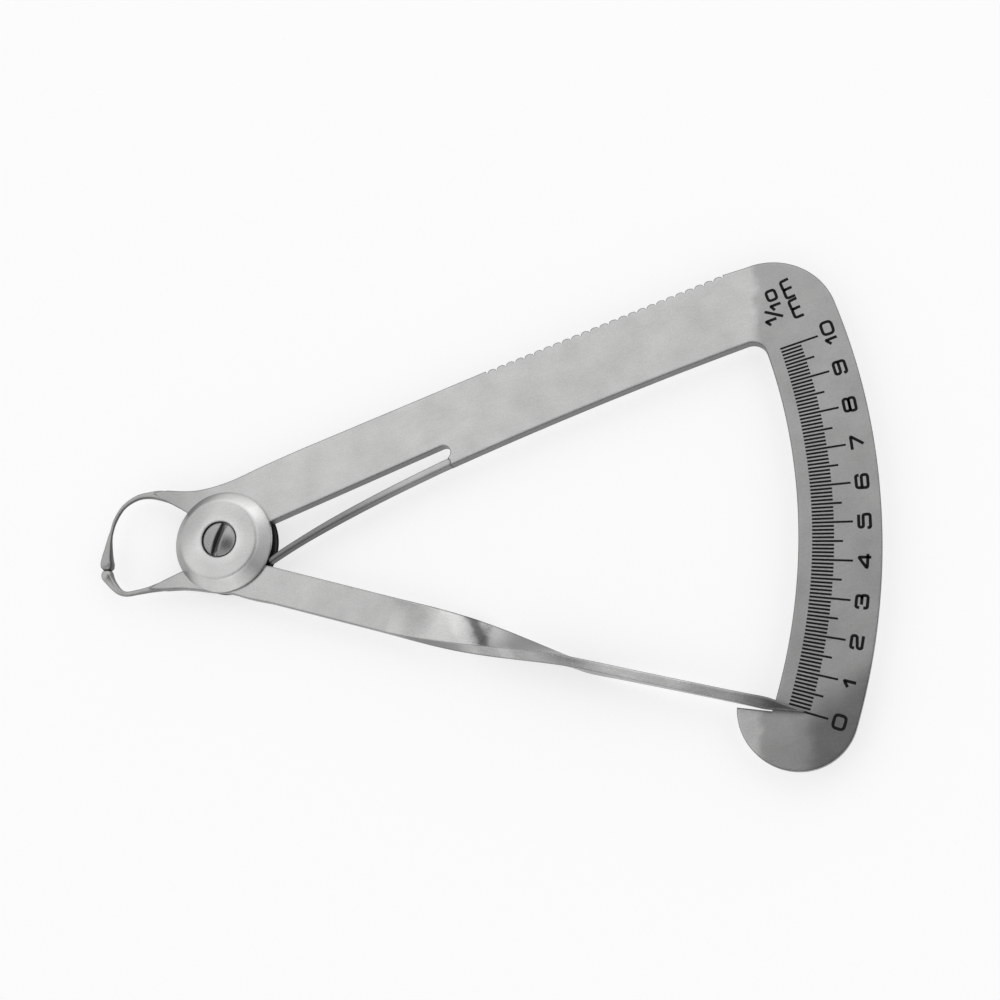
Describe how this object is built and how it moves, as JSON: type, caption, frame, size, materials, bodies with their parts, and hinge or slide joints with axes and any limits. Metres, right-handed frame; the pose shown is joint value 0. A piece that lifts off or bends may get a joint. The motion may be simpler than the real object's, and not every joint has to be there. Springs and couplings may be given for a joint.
{
  "type": "dental spring caliper",
  "caption": "Small steel spring caliper with two curved measuring beaks, a screwed pivot and a long pointer that sweeps a curved tenth-millimetre scale.",
  "frame": {"origin": "on the pivot axis, at the hub's back face", "axes": "+X from the pivot to the middle of the curved scale, +Z out of the front face that carries the scale, +Y towards the serrated arm; the beaks point to -X"},
  "size_m": [0.1021, 0.0638, 0.0054],
  "materials": {
    "scale_frame": "satin",
    "leaf_spring": "satin",
    "pointer_arm": "satin",
    "pivot_post": "satin",
    "front_cap": "satin",
    "pivot_screw": "satin"
  },
  "bodies": {
    "frame": {"scale_frame": "scale_frame", "pivot_post": "pivot_post", "front_cap": "front_cap", "pivot_screw": "pivot_screw"},
    "pointer": {"pointer_arm": "pointer_arm"},
    "spring": {"leaf_spring": "leaf_spring"}
  },
  "joints": [
    {"name": "pointer_pivot", "type": "hinge", "parent": "frame", "child": "pointer", "pos_m": [0, 0, 0], "axis": [0, 0, 1], "range_deg": [0, 34.13], "stiffness_Nm_per_rad": 0.12, "springref_deg": -11.46},
    {"name": "leaf_flex", "type": "hinge", "parent": "frame", "child": "spring", "pos_m": [0.02978, 0.00945, 0], "axis": [0, 0, 1], "range_deg": [-8.1, 0]}
  ],
  "couplings": [
    {"joint": "leaf_flex", "follows": "pointer_pivot", "ratio": -0.235}
  ]
}
